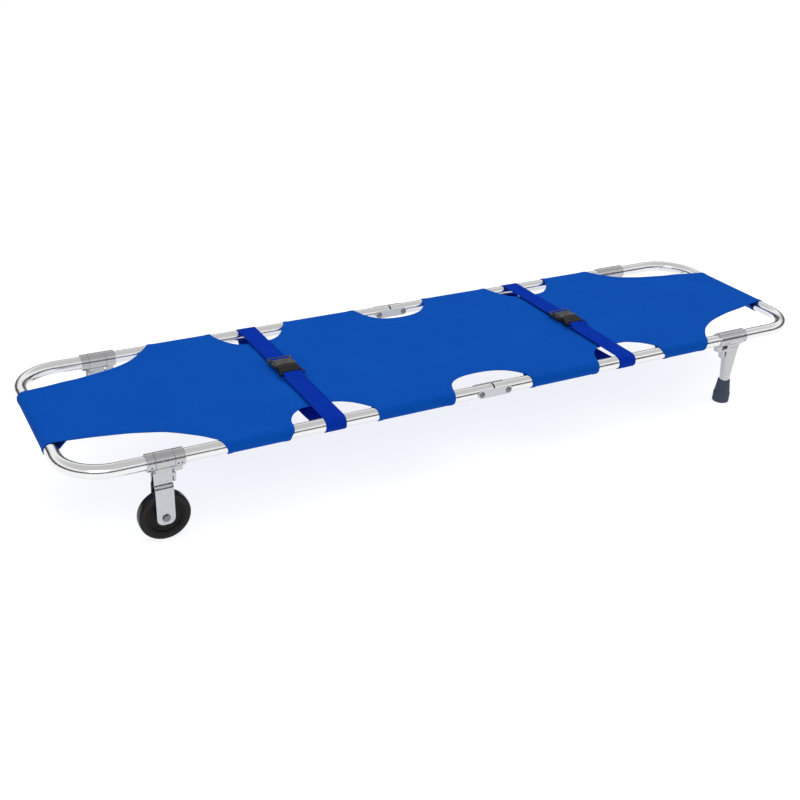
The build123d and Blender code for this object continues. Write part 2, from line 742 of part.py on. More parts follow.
def centre_sling(label):
    """Narrow middle strip of the sling, between the two hinge lines."""
    strip = PIVOT_X - SIDE_PLAY
    edge = CUT_EDGE + CENTRE_STRIP_IN
    with BuildPart() as sling:
        with BuildSketch(level(CLOTH_IN)):
            Rectangle(2 * strip, 2 * edge)
        extrude(amount=CLOTH_T)
        for side in (NEAR, FAR):
            with BuildSketch(level(CLOTH_IN)):
                with BuildLine():
                    ThreePointArc((-strip, side * edge), (0, side * CUT_EDGE), (strip, side * edge))
                    Line((strip, side * edge), (-strip, side * edge))
                make_face()
            extrude(amount=CLOTH_T, mode=Mode.SUBTRACT)
    save(sling.part, label)


# ---------------------------------------------------------------------- straps


def strap(x, buckle_y, label):
    """Webbing band round both rails, closed by the buckle over the sling and hanging slack below."""
    far_end = buckle_y + SOCKET_L
    near_end = buckle_y - PLUG_L - SIDE_PLAY
    knee = RAIL_Y - STRAP_KNEE_IN
    with BuildPart() as band:
        with BuildSketch(section(x)):
            with Locations((-RAIL_Y, 0), (RAIL_Y, 0)):
                Circle(STRAP_OUT)
                Circle(STRAP_IN, mode=Mode.SUBTRACT)
            Rectangle(2 * RAIL_Y, 2 * STRAP_OUT + 2.0, mode=Mode.SUBTRACT)
            with Locations(((far_end + RAIL_Y) / 2, STRAP_IN + STRAP_T / 2)):
                Rectangle(RAIL_Y - far_end, STRAP_T)
            with Locations(((near_end - RAIL_Y) / 2, STRAP_IN + STRAP_T / 2)):
                Rectangle(RAIL_Y + near_end, STRAP_T)
            with BuildLine():
                Polyline(
                    (-RAIL_Y, -STRAP_IN),
                    (-knee, -STRAP_DROP),
                    (knee, -STRAP_DROP),
                    (RAIL_Y, -STRAP_IN),
                    (RAIL_Y, -STRAP_OUT),
                    (knee, -STRAP_DROP - STRAP_T),
                    (-knee, -STRAP_DROP - STRAP_T),
                    (-RAIL_Y, -STRAP_OUT),
                    close=True,
                )
            make_face()
        extrude(amount=STRAP_W / 2, both=True)
    save(band.part, label)


PRONG_OUT = BUCKLE_W / 2 - PRONG_SIDE
PRONG_START = PRONG_OUT - PRONG_TRAVEL - PRONG_W
PRONG_H = BUCKLE_H - 2 * PRONG_SKIN
BUCKLE_BASE = STRAP_IN
BUCKLE_MID = BUCKLE_BASE + BUCKLE_H / 2


def buckle_socket(x, y, label):
    """Socket half of a side-release buckle: hollow body with a window at each side and a strap bar."""
    cavity = 2 * (PRONG_OUT - PRONG_TRAVEL + SIDE_PLAY)
    window_start, window_end = WINDOW
    slot_in, slot_l = SOCKET_SLOT
    with BuildPart() as socket:
        with BuildSketch(level(BUCKLE_BASE)) as outline:
            with Locations((x, y + SOCKET_L / 2)):
                Rectangle(BUCKLE_W, SOCKET_L)
            fillet(outline.vertices(), SOCKET_CORNER_R)
        extrude(amount=BUCKLE_H)
        fillet(socket.faces().sort_by(Axis.Z)[-1].edges(), BUCKLE_ROUND)
        with BuildSketch(side_view(y)):
            with Locations((x, BUCKLE_MID)):
                Rectangle(cavity, PRONG_H + 2 * SIDE_PLAY)
        extrude(amount=-(PRONG_LENGTH + PRONG_SKIN), mode=Mode.SUBTRACT)
        with BuildSketch(section(x)):
            with Locations((y + (window_start + window_end) / 2, BUCKLE_MID)):
                Rectangle(window_end - window_start, PRONG_H + 2 * SIDE_PLAY)
        extrude(amount=BUCKLE_W, both=True, mode=Mode.SUBTRACT)
        with BuildSketch(level(BUCKLE_BASE)):
            with Locations((x, y + SOCKET_L - slot_in)):
                Rectangle(BAR_SLOT_W, slot_l)
        extrude(amount=BUCKLE_H, mode=Mode.SUBTRACT)
    save(socket.part, label)


def buckle_plug(x, y, label):
    """Plug half: a base with two strap slots, and the guide tongue that enters the socket."""
    with BuildPart() as plug:
        with BuildSketch(level(BUCKLE_BASE)) as outline:
            with Locations((x, y - PLUG_L / 2 - SIDE_PLAY)):
                Rectangle(BUCKLE_W, PLUG_L)
            fillet(outline.vertices().group_by(Axis.Y)[0], PLUG_CORNER_R)
        extrude(amount=BUCKLE_H - PLUG_STEP)
        fillet(plug.faces().sort_by(Axis.Z)[-1].edges(), BUCKLE_ROUND)
        with BuildSketch(level(BUCKLE_BASE)):
            with Locations(*[(x, y - back) for back in PLUG_SLOTS]):
                Rectangle(BAR_SLOT_W, PLUG_SLOT_L)
        extrude(amount=BUCKLE_H, mode=Mode.SUBTRACT)
        with BuildSketch(side_view(y - SIDE_PLAY - PLUG_STEP)):
            with Locations((x, BUCKLE_MID)):
                Rectangle(TONGUE_W, PRONG_H)
        extrude(amount=-(PRONG_LENGTH + PLUG_STEP))
    save(plug.part, label)


def buckle_prong(x, y, hand, label):
    """Sprung side prong, whose shoulder fills the socket's window and is squeezed inwards."""
    window_start, window_end = WINDOW
    with BuildPart() as prong:
        with BuildSketch(level(BUCKLE_MID)):
            with BuildLine():
                Polyline(
                    (x + hand * PRONG_START, y),
                    (x + hand * PRONG_START, y + PRONG_LENGTH),
                    (x + hand * (PRONG_START + PRONG_W * 0.4), y + PRONG_LENGTH),
                    (x + hand * PRONG_OUT, y + window_end - PRONG_SHOULDER_L),
                    (x + hand * PRONG_OUT, y + window_start + SIDE_PLAY),
                    (x + hand * (PRONG_START + PRONG_W), y + window_start + SIDE_PLAY),
                    (x + hand * (PRONG_START + PRONG_W), y),
                    close=True,
                )
            make_face()
        extrude(amount=PRONG_H / 2, both=True)
    save(prong.part, label)


def strap_set(number, x, y):
    """One strap with its buckle."""
    strap(x, y, f"strap_{number}_webbing")
    buckle_socket(x, y, f"strap_{number}_buckle_socket")
    buckle_plug(x, y, f"strap_{number}_buckle_plug")
    buckle_prong(x, y, -1, f"strap_{number}_prong_left")
    buckle_prong(x, y, 1, f"strap_{number}_prong_right")


os.makedirs("parts", exist_ok=True)
frame_tube(WHEEL_END, "wheel_end_tube")
frame_tube(FOOT_END, "foot_end_tube")
hinge_plugs(WHEEL_END, "wheel_end_hinge_plugs")
hinge_plugs(FOOT_END, "foot_end_hinge_plugs")
hinge_links(NEAR, "near_hinge_links")
hinge_links(FAR, "far_hinge_links")
hinge_bolts("hinge_bolts")
rail_collars()
for rail in (NEAR, FAR):
    wheel_bracket(rail)
    leg_set(rail)
sling_half(WHEEL_END, "wheel_end_sling")
sling_half(FOOT_END, "foot_end_sling")
centre_sling("centre_sling")
strap_set(1, STRAP_1_X, BUCKLE_1_Y)
strap_set(2, STRAP_2_X, BUCKLE_2_Y)
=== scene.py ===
import json
import math

import bmesh
import bpy
import numpy as np
from mathutils import Matrix, Vector
from mathutils.geometry import delaunay_2d_cdt


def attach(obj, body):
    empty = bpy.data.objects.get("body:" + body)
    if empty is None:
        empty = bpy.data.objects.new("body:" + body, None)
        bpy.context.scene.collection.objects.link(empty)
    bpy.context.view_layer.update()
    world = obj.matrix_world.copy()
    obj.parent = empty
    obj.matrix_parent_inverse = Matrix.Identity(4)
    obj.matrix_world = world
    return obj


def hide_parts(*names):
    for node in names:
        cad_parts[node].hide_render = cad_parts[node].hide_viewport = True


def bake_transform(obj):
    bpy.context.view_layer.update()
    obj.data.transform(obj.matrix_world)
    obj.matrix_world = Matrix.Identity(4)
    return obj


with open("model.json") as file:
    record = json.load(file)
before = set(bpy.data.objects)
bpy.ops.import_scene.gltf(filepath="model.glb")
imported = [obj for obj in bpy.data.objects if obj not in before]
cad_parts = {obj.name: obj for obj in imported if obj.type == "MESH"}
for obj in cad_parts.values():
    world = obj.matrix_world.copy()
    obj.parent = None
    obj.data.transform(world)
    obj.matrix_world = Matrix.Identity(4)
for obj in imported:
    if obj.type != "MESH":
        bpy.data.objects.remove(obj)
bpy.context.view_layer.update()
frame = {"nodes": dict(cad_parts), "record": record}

# The frame's main sizes, in metres: X along the stretcher, Y across it, Z up.
RAIL_Y = 0.269
END_X = 1.024
AXIS_Z = 0.192
WHEEL_X = -0.828
WHEEL_R = 0.058
NEAR_FAR = (("near", -1), ("far", 1))


# ------------------------------------------------------------------ materials


def new_material(name, color, roughness, metallic=0.0, **sockets):
    """A material with its plain values on the shader itself, and its node tree."""
    mat = bpy.data.materials.new(name)
    mat.use_nodes = True
    bsdf = mat.node_tree.nodes["Principled BSDF"]
    bsdf.inputs["Base Color"].default_value = (*color, 1.0)
    bsdf.inputs["Roughness"].default_value = roughness
    bsdf.inputs["Metallic"].default_value = metallic
    for key, value in sockets.items():
        bsdf.inputs[key.replace("_", " ")].default_value = value
    return mat, mat.node_tree, bsdf


def node(tree, kind, values=None, **props):
    """A node with its properties set and its inputs either linked or given."""
    made = tree.nodes.new(kind)
    for key, value in props.items():
        setattr(made, key, value)
    for key, value in (values or {}).items():
        if isinstance(value, bpy.types.NodeSocket):
            tree.links.new(value, made.inputs[key])
        else:
            made.inputs[key].default_value = value
    return made


def math_node(tree, operation, a, b=0.0):
    """The output of a two-value math node."""
    return node(tree, "ShaderNodeMath", {0: a, 1: b}, operation=operation).outputs[0]


def ramp(tree, factor, stops):
    """A colour ramp through (position, colour) stops."""
    made = node(tree, "ShaderNodeValToRGB", {0: factor})
    made.color_ramp.elements[0].position, made.color_ramp.elements[1].position = stops[0][0], stops[-1][0]
    made.color_ramp.elements[0].color = (*stops[0][1], 1.0)
    made.color_ramp.elements[1].color = (*stops[-1][1], 1.0)
    for place, color in stops[1:-1]:
        made.color_ramp.elements.new(place).color = (*color, 1.0)
    return made.outputs[0]


def noise(tree, vector, scale, detail=3.0, roughness=0.5):
    """Noise over a place, as one value."""
    values = {"Vector": vector, "Scale": scale, "Detail": detail, "Roughness": roughness}
    return node(tree, "ShaderNodeTexNoise", values).outputs[0]


def stretched(tree, source, scale):
    """A place scaled differently along X, Y and Z."""
    return node(tree, "ShaderNodeMapping", {"Vector": source, "Scale": scale}).outputs[0]


def bumps(tree, bsdf, layers):
    """Chains (height, distance, strength) layers into the shader's normal."""
    previous = None
    for height, distance, strength in layers:
        values = {"Height": height, "Distance": distance, "Strength": strength}
        if previous:
            values["Normal"] = previous
        previous = node(tree, "ShaderNodeBump", values).outputs[0]
    tree.links.new(previous, bsdf.inputs["Normal"])


def object_space(tree):
    """The place on the object itself, so that a pattern moves with it."""
    return node(tree, "ShaderNodeTexCoord").outputs["Object"]


def flat_space(tree):
    """The cloth's own flat cut, in metres, so that the weave follows the threads."""
    return node(tree, "ShaderNodeAttribute", attribute_name="flat").outputs["Vector"]


def weave_height(tree, vector, pitch_a, pitch_b):
    """Over-and-under height of a plain weave."""
    split = node(tree, "ShaderNodeSeparateXYZ", {0: vector})
    across = math_node(tree, "SINE", math_node(tree, "MULTIPLY", split.outputs[0], 2 * math.pi / pitch_a))
    along = math_node(tree, "SINE", math_node(tree, "MULTIPLY", split.outputs[1], 2 * math.pi / pitch_b))
    product = math_node(tree, "MULTIPLY", across, along)
    return math_node(tree, "ADD", math_node(tree, "MULTIPLY", product, 0.5), 0.5)


def sling_cloth():
    """Coated woven polyester: fine plain weave, slubs and slow changes in tone."""
    mat, tree, bsdf = new_material("sling_cloth", (0.002, 0.070, 0.39), 0.62, Specular_IOR_Level=0.015)
    flat = flat_space(tree)
    weave = weave_height(tree, flat, 0.0011, 0.0011)
    slub = noise(tree, stretched(tree, flat, (60, 900, 1)), 1.0, 2.0)
    broad = noise(tree, flat, 6.0, 3.0)
    woven = math_node(tree, "MULTIPLY", weave, 0.35)
    shade = math_node(tree, "ADD", woven, math_node(tree, "MULTIPLY", slub, 0.25))
    shade = math_node(tree, "ADD", shade, math_node(tree, "MULTIPLY", broad, 0.4))
    blues = [(0.25, (0.001, 0.058, 0.35)), (0.5, (0.002, 0.069, 0.39)), (0.75, (0.004, 0.082, 0.43))]
    color = ramp(tree, shade, blues)
    tree.links.new(color, bsdf.inputs["Base Color"])
    rough = node(tree, "ShaderNodeMapRange", {"Value": broad, "To Min": 0.56, "To Max": 0.68}).outputs[0]
    tree.links.new(rough, bsdf.inputs["Roughness"])
    soft = noise(tree, stretched(tree, flat, (9, 16, 1)), 1.0, 2.0)
    bumps(tree, bsdf, [(weave, 0.00012, 0.5), (slub, 0.0001, 0.35), (soft, 0.0022, 0.3)])
    return mat


def webbing(name, color, dark):
    """Woven webbing: ribs across and a chevron in the weave."""
    mat, tree, bsdf = new_material(name, color, 0.5, Specular_IOR_Level=0.01)
    flat = flat_space(tree)
    split = node(tree, "ShaderNodeSeparateXYZ", {0: flat})
    fold = math_node(tree, "PINGPONG", split.outputs[0], 0.0031)
    slant = math_node(tree, "ADD", split.outputs[1], math_node(tree, "MULTIPLY", fold, 0.8))
    rib = math_node(tree, "SINE", math_node(tree, "MULTIPLY", slant, 2 * math.pi / 0.0016))
    rib = math_node(tree, "ADD", math_node(tree, "MULTIPLY", rib, 0.5), 0.5)
    thread = noise(tree, stretched(tree, flat, (1500, 400, 1)), 1.0, 2.0)
    broad = noise(tree, flat, 14.0, 2.0)
    ribbed = math_node(tree, "MULTIPLY", rib, 0.4)
    shade = math_node(tree, "ADD", ribbed, math_node(tree, "MULTIPLY", thread, 0.25))
    shade = math_node(tree, "ADD", shade, math_node(tree, "MULTIPLY", broad, 0.35))
    tree.links.new(ramp(tree, shade, [(0.2, dark), (0.7, color)]), bsdf.inputs["Base Color"])
    bumps(tree, bsdf, [(rib, 0.00025, 0.6), (thread, 0.0001, 0.4)])
    return mat


def metal(name, color, roughness, grain, spread=0.06, dents=0.0, relief=0.00003):
    """Metal with streaks or mottling at the given grain, in its colour, roughness and surface."""
    mat, tree, bsdf = new_material(name, color, roughness, 1.0)
    place = object_space(tree)
    streak = noise(tree, stretched(tree, place, grain), 1.0, 3.0, 0.6)
    broad = noise(tree, place, 22.0, 3.0)
    fine = math_node(tree, "MULTIPLY", streak, 0.6)
    mixed = math_node(tree, "ADD", fine, math_node(tree, "MULTIPLY", broad, 0.4))
    low = tuple(c * (1 - spread) for c in color)
    high = tuple(min(1.0, c * (1 + spread)) for c in color)
    tree.links.new(ramp(tree, mixed, [(0.3, low), (0.7, high)]), bsdf.inputs["Base Color"])
    values = {"Value": mixed, "From Min": 0.3, "From Max": 0.7,
              "To Min": roughness * 0.8, "To Max": roughness * 1.25}
    tree.links.new(node(tree, "ShaderNodeMapRange", values).outputs[0], bsdf.inputs["Roughness"])
    layers = [(streak, relief, 0.4)]
    if dents:
        layers.append((noise(tree, place, 420.0, 2.0), dents, 0.5))
    bumps(tree, bsdf, layers)
    return mat


def moulded(name, color, roughness, grain_scale, grain_depth, wear=1.25, **sockets):
    """Moulded plastic or rubber: fine grain, slow gloss changes and paler worn patches."""
    mat, tree, bsdf = new_material(name, color, roughness, **sockets)
    place = object_space(tree)
    fine = noise(tree, place, grain_scale, 3.0)
    broad = noise(tree, place, 35.0, 4.0)
    worn = tuple(c * wear for c in color)
    tree.links.new(ramp(tree, broad, [(0.35, color), (0.75, worn)]), bsdf.inputs["Base Color"])
    values = {"Value": broad, "From Min": 0.3, "From Max": 0.7,
              "To Min": roughness * 0.85, "To Max": roughness * 1.2}
    tree.links.new(node(tree, "ShaderNodeMapRange", values).outputs[0], bsdf.inputs["Roughness"])
    bumps(tree, bsdf, [(fine, grain_depth, 0.5)])
    return mat


def stitch_thread():
    """Sewing thread, a little darker and lighter along its twist."""
    mat, tree, bsdf = new_material("stitch_thread", (0.005, 0.06, 0.36), 0.6, Specular_IOR_Level=0.1)
    twist = noise(tree, object_space(tree), 2500.0, 1.0)
    color = ramp(tree, twist, [(0.3, (0.003, 0.04, 0.28)), (0.7, (0.01, 0.09, 0.46))])
    tree.links.new(color, bsdf.inputs["Base Color"])
    bumps(tree, bsdf, [(twist, 0.0001, 0.4)])
    return mat


MATS = {
    "sling_cloth": sling_cloth(),
    "strap_webbing": webbing("strap_webbing", (0.002, 0.032, 0.37), (0.001, 0.022, 0.28)),
    "rail_aluminium": metal("rail_aluminium", (0.80, 0.80, 0.81), 0.2, (3, 500, 500), 0.02),
    "cast_aluminium": metal("cast_aluminium", (0.50, 0.50, 0.51), 0.24, (300, 300, 300), 0.05, 0.00003),
    "bolt_steel": metal("bolt_steel", (0.20, 0.20, 0.21), 0.12, (500, 500, 500), 0.04),
    "zinc_steel": metal("zinc_steel", (0.50, 0.52, 0.55), 0.22, (90, 90, 90), 0.09, 0.00001, 0.000008),
    "screw_steel": metal("screw_steel", (0.06, 0.06, 0.065), 0.45, (800, 800, 800), 0.1),
    "plug_nylon": moulded("plug_nylon", (0.008, 0.008, 0.009), 0.5, 900.0, 0.00004, Specular_IOR_Level=0.1),
    "buckle_plastic": moulded("buckle_plastic", (0.055, 0.055, 0.053), 0.45, 1400.0, 0.00005,
                              Specular_IOR_Level=0.2),
    # Darker copy of the buckle plastic for the plug: painted shade of the recess between socket and plug and
    # of the plug's sloping face.
    "buckle_plastic_painted_shade": moulded("buckle_plastic_painted_shade", (0.007, 0.007, 0.0065), 0.4, 1400.0, 0.00005,
                           Specular_IOR_Level=0.12),
    "hub_plastic": moulded("hub_plastic", (0.006, 0.006, 0.0065), 0.3, 500.0, 0.00003,
                           Specular_IOR_Level=0.16),
    "tyre_rubber": moulded("tyre_rubber", (0.007, 0.007, 0.0075), 0.28, 700.0, 0.00004,
                           Specular_IOR_Level=0.2),
    "foot_rubber": moulded("foot_rubber", (0.045, 0.058, 0.085), 0.6, 900.0, 0.00008, Specular_IOR_Level=0.2),
    "stitch_thread": stitch_thread(),
}


# -------------------------------------------------------------- mesh builders


def new_object(name, verts, faces, slot, material=None, smooth_angle=40.0):
    """A smooth-shaded mesh object with its material, which is the slot's unless another material is given."""
    mesh = bpy.data.meshes.new(name)
    mesh.from_pydata([tuple(v) for v in verts], [], [tuple(f) for f in faces])
    mesh.validate()
    mesh.shade_smooth()
    mesh.set_sharp_from_angle(angle=math.radians(smooth_angle))
    mesh.materials.append(MATS[material or slot])
    obj = bpy.data.objects.new(name, mesh)
    bpy.context.scene.collection.objects.link(obj)
    return obj


def fix_normals(obj):
    """Faces of closed shells turned outwards."""
    bm = bmesh.new()
    bm.from_mesh(obj.data)
    bmesh.ops.recalc_face_normals(bm, faces=bm.faces)
    bm.to_mesh(obj.data)
    bm.free()
    obj.data.set_sharp_from_angle(angle=math.radians(40.0))


def set_flat(obj, values):
    """Keeps each vertex's place in the flat cut, for the weave."""
    attribute = obj.data.attributes.new("flat", "FLOAT_VECTOR", "POINT")
    attribute.data.foreach_set("vector", np.asarray(values, np.float32).ravel())


def smooth_run(points, step):
    """A Catmull-Rom curve through points, in steps of about that length."""
    pts = np.asarray(points, float)
    padded = np.vstack([2 * pts[0] - pts[1], pts, 2 * pts[-1] - pts[-2]])
    out = [pts[0]]
    for i in range(1, len(padded) - 2):
        p0, p1, p2, p3 = padded[i - 1 : i + 3]
        count = max(2, int(math.ceil(np.linalg.norm(p2 - p1) / step)))
        for t in np.arange(1, count + 1) / count:
            point = 2 * p1 + (p2 - p0) * t + (2 * p0 - 5 * p1 + 4 * p2 - p3) * t**2
            out.append(0.5 * (point + (3 * p1 - p0 - 3 * p2 + p3) * t**3))
    return np.array(out)


def inside(points, polygon):
    """Which points lie inside a closed polygon."""
    x, y = points[:, 0][:, None], points[:, 1][:, None]
    x0, y0 = polygon[:, 0][None], polygon[:, 1][None]
    x1, y1 = np.roll(polygon[:, 0], -1)[None], np.roll(polygon[:, 1], -1)[None]
    crosses = (y0 > y) != (y1 > y)
    rise = np.where(y1 == y0, 1e-12, y1 - y0)
    return (crosses & (x < (x1 - x0) * (y - y0) / rise + x0)).sum(1) % 2 == 1


def distance_to(points, line, closed=True):
    """Distance from each point to a polyline."""
    ends = np.roll(line, -1, 0) if closed else line[1:]
    starts = line if closed else line[:-1]
    best = np.full(len(points), np.inf)
    for a, b in zip(starts, ends):
        d = b - a
        t = np.clip(((points - a) @ d) / max(d @ d, 1e-18), 0, 1)
        best = np.minimum(best, np.linalg.norm(points - a - t[:, None] * d, axis=1))
    return best


def cut_pattern(outline, xs, ys, extra=None, gap=0.0022):
    """Triangulates a flat cut: its outline, a grid of inner points, and extra lines of points."""
    grid = np.array([(x, y) for x in xs for y in ys])
    grid = grid[inside(grid, outline)]
    near = distance_to(grid, outline) > gap
    grid = grid[near]
    if extra is not None and len(extra):
        extra = extra[inside(extra, outline)]
        extra = extra[distance_to(extra, outline) > gap]
        keep = np.ones(len(grid), bool)
        for start in range(0, len(grid), 2000):
            block = grid[start : start + 2000]
            far = np.linalg.norm(block[:, None] - extra[None], axis=2).min(1)
            keep[start : start + 2000] = far > gap
        grid = np.vstack([grid[keep], extra])
    count = len(outline)
    points = [Vector(p) for p in np.vstack([outline, grid])]
    edges = [(i, (i + 1) % count) for i in range(count)]
    verts, _, faces, _, _, _ = delaunay_2d_cdt(points, edges, [], 0, 1e-7)
    verts = np.array([tuple(v) for v in verts])
    faces = np.array([f for f in faces if len(f) == 3])
    faces = faces[inside(verts[faces].mean(1), outline)]
    a, b, c = verts[faces[:, 0]], verts[faces[:, 1]], verts[faces[:, 2]]
    turn = (b[:, 0] - a[:, 0]) * (c[:, 1] - a[:, 1]) - (b[:, 1] - a[:, 1]) * (c[:, 0] - a[:, 0])
    faces[turn < 0] = faces[turn < 0][:, ::-1]
    return verts, faces[np.abs(turn) > 1e-12]


def lathe(name, profile, centre, slot, segments=96):
    """A solid of revolution about an axis across the stretcher, from (radius, offset) points."""
    verts, faces = [], []
    rows = len(profile)
    for k in range(segments):
        angle = 2 * math.pi * k / segments
        for radius, offset in profile:
            verts.append((centre[0] + radius * math.cos(angle), centre[1] + offset,
                          centre[2] + radius * math.sin(angle)))
    for k in range(segments):
        following = (k + 1) % segments
        for j in range(rows):
            i = (j + 1) % rows
            faces.append((k * rows + j, k * rows + i, following * rows + i, following * rows + j))
    obj = new_object(name, verts, faces, slot)
    fix_normals(obj)
    return obj


def tube_segments(path_pairs, radius, sides=6):
    """Short round-ended threads between pairs of points, as vertices and faces."""
    verts, faces = [], []
    for a, b, up in path_pairs:
        a, b, up = np.array(a), np.array(b), np.array(up)
        along = (b - a) / max(np.linalg.norm(b - a), 1e-9)
        side = np.cross(along, up)
        side /= max(np.linalg.norm(side), 1e-9)
        top = np.cross(side, along)
        base = len(verts)
        for place, scale, sink in ((0.0, 0.35, 1.0), (0.2, 1.0, 0.2), (0.8, 1.0, 0.2), (1.0, 0.35, 1.0)):
            middle = a + (b - a) * place - top * radius * sink
            for k in range(sides):
                angle = 2 * math.pi * k / sides
                verts.append(middle + radius * scale * (math.cos(angle) * side + math.sin(angle) * top))
        for ring in range(3):
            for k in range(sides):
                n = (k + 1) % sides
                low, high = base + ring * sides, base + (ring + 1) * sides
                faces.append((low + k, low + n, high + n, high + k))
        faces.append(tuple(base + k for k in reversed(range(sides))))
        faces.append(tuple(base + 3 * sides + k for k in range(sides)))
    return verts, faces


# ---------------------------------------------------------------------- sling

CLOTH_R = 0.01635
CLOTH_T = 0.0009
HEM_T = 0.0017
HEM_W = 0.0125
SEAM_IN = 0.040
FLAP = 0.014


def tangent_to_seam(seam_drop):
    """Where cloth going round a rail leaves it for its seam: the angle, and the straight part's length."""
    seam = np.array([-SEAM_IN, CLOTH_R - seam_drop])
    reach = np.linalg.norm(seam)
    toward = math.atan2(seam[0], seam[1]) % (2 * math.pi)
    angle = toward - math.acos(CLOTH_R / reach)
    return angle, math.sqrt(reach**2 - CLOTH_R**2)


SIDE_DROP = 0.0014
END_DROP = 0.0003
SIDE_ANGLE, SIDE_RUN = tangent_to_seam(SIDE_DROP)
END_ANGLE, END_RUN = tangent_to_seam(END_DROP)
SIDE_TOTAL = CLOTH_R * SIDE_ANGLE + SIDE_RUN + FLAP
END_TOTAL = CLOTH_R * END_ANGLE + END_RUN + FLAP
FULL_S = RAIL_Y + SIDE_TOTAL
FULL_X = END_X + END_TOTAL


def wrap(u, angle, run):
    """Cloth past the top of a rail by u: how far outboard of the rail's axis it is, and its height."""
    turn = np.minimum(u / CLOTH_R, angle)
    out, high = CLOTH_R * np.sin(turn), CLOTH_R * np.cos(turn)
    straight = np.clip(u - CLOTH_R * angle, 0, run)
    out = out + straight * math.cos(angle)
    high = high - straight * math.sin(angle)
    out = out - np.maximum(u - CLOTH_R * angle - run, 0)
    return out, high


def bump_shape(value, middle, half):
    """A smooth bump of height one, zero beyond half a width from its middle."""
    return np.maximum(0, 1 - ((value - middle) / half) ** 2)


def top_height(a, t):
    """Height over the rails' axes of the sling's top sheet, at a along it and t across it."""
    sag = np.interp(a, [0, 0.5, 0.62, 0.72, 0.9, END_X], [0.005, 0.005, 0.0046, 0.0032, 0.0018, 0.0])
    high = CLOTH_R - sag * (1 - (t / RAIL_Y) ** 2)
    near_edge = np.clip((t - 0.11) / 0.08, 0, 1.2) ** 2
    dip = 0.0040 * bump_shape(a, 0, 0.105) + 0.0042 * bump_shape(a, 0.421, 0.1)
    dip = dip + 0.0014 * bump_shape(a, 0.76, 0.07)
    high = high - dip * near_edge
    pull = np.exp(-(((t - np.interp(a, [0.69, 0.8, END_X], [0.25, 0.165, 0.125])) / 0.028) ** 2))
    pull = pull * np.clip((a - 0.66) / 0.06, 0, 1) * np.clip((END_X - a) / 0.05, 0, 1)
    high = high + 0.0007 * pull
    crease = np.sin(a * 61.0 + 9.0 * t) * np.sin(a * 23.0 - 17.0 * t + 1.1)
    calm = np.clip((END_X - a) / 0.05, 0, 1) * np.clip((RAIL_Y - t) / 0.03, 0, 1)
    calm = calm * np.clip(a / 0.09, 0, 1) ** 2
    return high + 0.00045 * crease * calm


def cloth_place(a, s):
    """A point of the flat cut, at a along the half and s across it, in the row frame with the half at +X."""
    a, s = np.asarray(a, float), np.asarray(s, float)
    t, side = np.abs(s), np.sign(s)
    flat_t, flat_a = np.minimum(t, RAIL_Y), np.minimum(a, END_X)
    x, y, z = flat_a.copy(), flat_t.copy(), top_height(flat_a, flat_t)
    out, high = wrap(np.maximum(t - RAIL_Y, 0), SIDE_ANGLE, SIDE_RUN)
    over = t > RAIL_Y
    y, z = np.where(over, RAIL_Y + out, y), np.where(over, high, z)
    out, high = wrap(np.maximum(a - END_X, 0), END_ANGLE, END_RUN)
    over = a > END_X
    x, z = np.where(over, END_X + out, x), np.where(over, high, z)
    return np.stack([x, y * side, z + AXIS_Z], axis=-1)


def cloth_normal(a, s):
    """The cloth's outer direction, which is up on the top sheet."""
    h = 1e-4
    along = cloth_place(a + h, s) - cloth_place(a - h, s)
    across = cloth_place(a, s + h) - cloth_place(a, s - h)
    normal = np.cross(along, across)
    return normal / np.linalg.norm(normal, axis=-1, keepdims=True)


MM = 0.001
CENTRE_EDGE = [
    (0, 193), (24, 194.5), (44, 198.5), (61, 205), (76, 215), (88, 228), (97, 242), (103.5, 257),
    (108.5, 271), (111, 290), (113, 310), (114, FULL_S / MM),
]
STRAP_EDGE = [
    (313, FULL_S / MM), (314, 310), (316, 288), (318.5, 272), (324, 259), (333, 242), (343, 226), (354, 212),
    (366, 201.5), (380, 194), (395, 190.5), (430, 189), (463, 191), (478, 196.5), (495, 210), (509, 228),
    (518, 245), (522.5, 259), (524, 271), (527, 287), (536, 306), (537, FULL_S / MM),
]
END_EDGE = [
    (680, FULL_S / MM), (682, 306), (687, 288), (692.5, 273), (699.5, 261), (708, 250), (719, 237),
    (734, 221.5),
    (752, 205.5), (772, 191.5), (793, 180), (814, 172), (850, 161), (890, 151.5), (920, 146.5), (960, 141),
    (1000, 137), (1024, 135.5), (1040, 134.5), (1070, 131), (1085, 129), (FULL_X / MM, 127),
]
TAPER_START = 0.93
TAPER_IN = {-1: 0.003, 1: 0.011}
KNEE = (0.74, 0.80)
KNEE_IN = {-1: 0.0, 1: 0.007}


